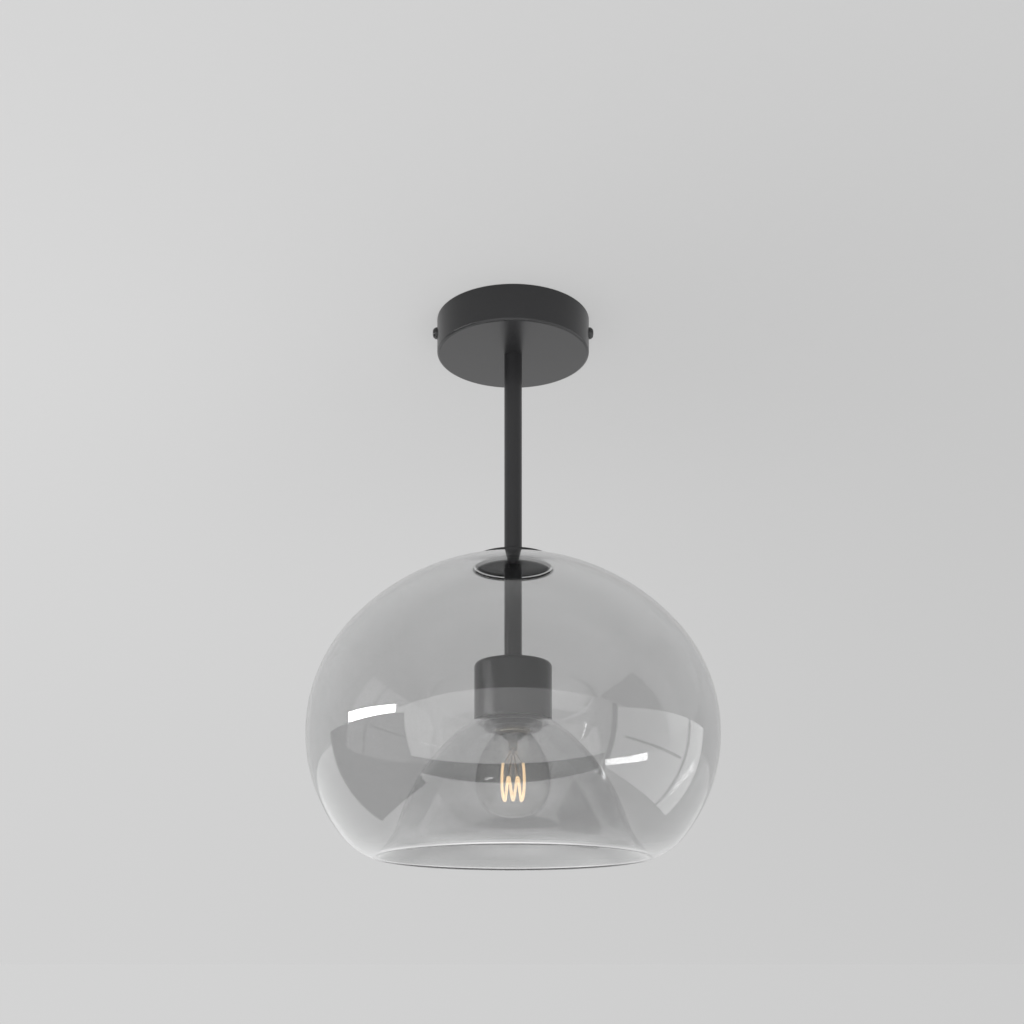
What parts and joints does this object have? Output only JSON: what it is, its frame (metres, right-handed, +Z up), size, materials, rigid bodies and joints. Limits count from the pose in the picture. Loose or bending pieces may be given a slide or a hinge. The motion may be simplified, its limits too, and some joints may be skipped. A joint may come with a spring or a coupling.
{
  "type": "semi flush ceiling light",
  "caption": "Ceiling light on a short rigid rod, with a domed smoked glass shade that folds into an inner bell round a bare filament bulb.",
  "frame": {"origin": "centre of the two fixing slots, in the plane of the ceiling", "axes": "+Z up into the ceiling, X along the ceiling strap and its two side screws, Y towards the back"},
  "size_m": [0.326, 0.326, 0.4254],
  "materials": {
    "black_metal": "fine matt black powder coat on steel",
    "black_screw": "blackened steel",
    "zinc_steel": "bright zinc plate",
    "zinc_screw": "bright zinc plate",
    "brass": "plain turned brass",
    "tinned_copper": "tinned copper",
    "block_plastic": "natural nylon",
    "white_plastic": "white nylon",
    "black_plastic": "moulded black thermoplastic",
    "white_ceramic": "glazed porcelain",
    "silicone": "clear to milky silicone",
    "smoked_glass": "smoke tinted blown glass, fire-polished",
    "brown_insulation": "brown insulation",
    "blue_insulation": "blue insulation",
    "green_yellow_insulation": "green insulation with a yellow stripe",
    "nickel_brass": "nickel plated brass",
    "black_glass": "black glass insulator",
    "solder": "dull solder",
    "clear_glass": "clear bulb glass",
    "glowing_filament": "warm white phosphor on a soft filament",
    "nickel_wire": "thin nickel wire"
  },
  "bodies": {
    "root": {"ceiling_strap": "zinc_steel", "canopy": "black_metal", "side_screw_left": "black_screw", "side_screw_right": "black_screw", "terminal_block": "block_plastic", "terminal_sleeves": "brass", "terminal_clamp_screws": "zinc_screw", "terminal_block_screw": "zinc_screw", "earth_lug": "tinned_copper", "earth_screw": "zinc_screw", "canopy_washer": "zinc_steel", "canopy_nut": "zinc_steel", "canopy_nipple": "zinc_steel", "wire_bushing": "white_plastic", "upper_rod": "black_metal", "disc_nipple": "zinc_steel", "shade_hole_disc": "black_metal", "lower_rod": "black_metal", "lampholder_cover": "black_metal", "lampholder_washer": "zinc_steel", "lampholder_nut": "zinc_steel", "lampholder_nipple": "zinc_steel", "lampholder_cap": "black_plastic", "lampholder_skirt": "black_plastic", "socket_insert": "white_ceramic", "centre_contact": "brass", "socket_shell": "brass", "socket_bezel": "white_ceramic", "socket_terminals": "brass", "upper_gasket": "silicone", "lower_gasket": "silicone", "glass_shade": "smoked_glass", "live_wire": "brown_insulation", "neutral_wire": "blue_insulation", "earth_wire": "green_yellow_insulation"},
    "ring": {"shade_ring": "black_plastic"},
    "bulb": {"bulb_cap": "nickel_brass", "bulb_insulator": "black_glass", "bulb_contact": "solder", "bulb_stem": "clear_glass", "bulb_glass": "clear_glass", "bulb_filament": "glowing_filament", "bulb_leads": "nickel_wire"}
  },
  "joints": [
    {"name": "bulb_out", "type": "slide", "parent": "root", "child": "bulb", "axis": [0, 0, -1], "range_m": [0, 0.135]},
    {"name": "shade_ring_turn", "type": "hinge", "parent": "root", "child": "ring", "pos_m": [0, 0, -0.321], "axis": [0, 0, 1], "range_deg": [0, 720]}
  ]
}
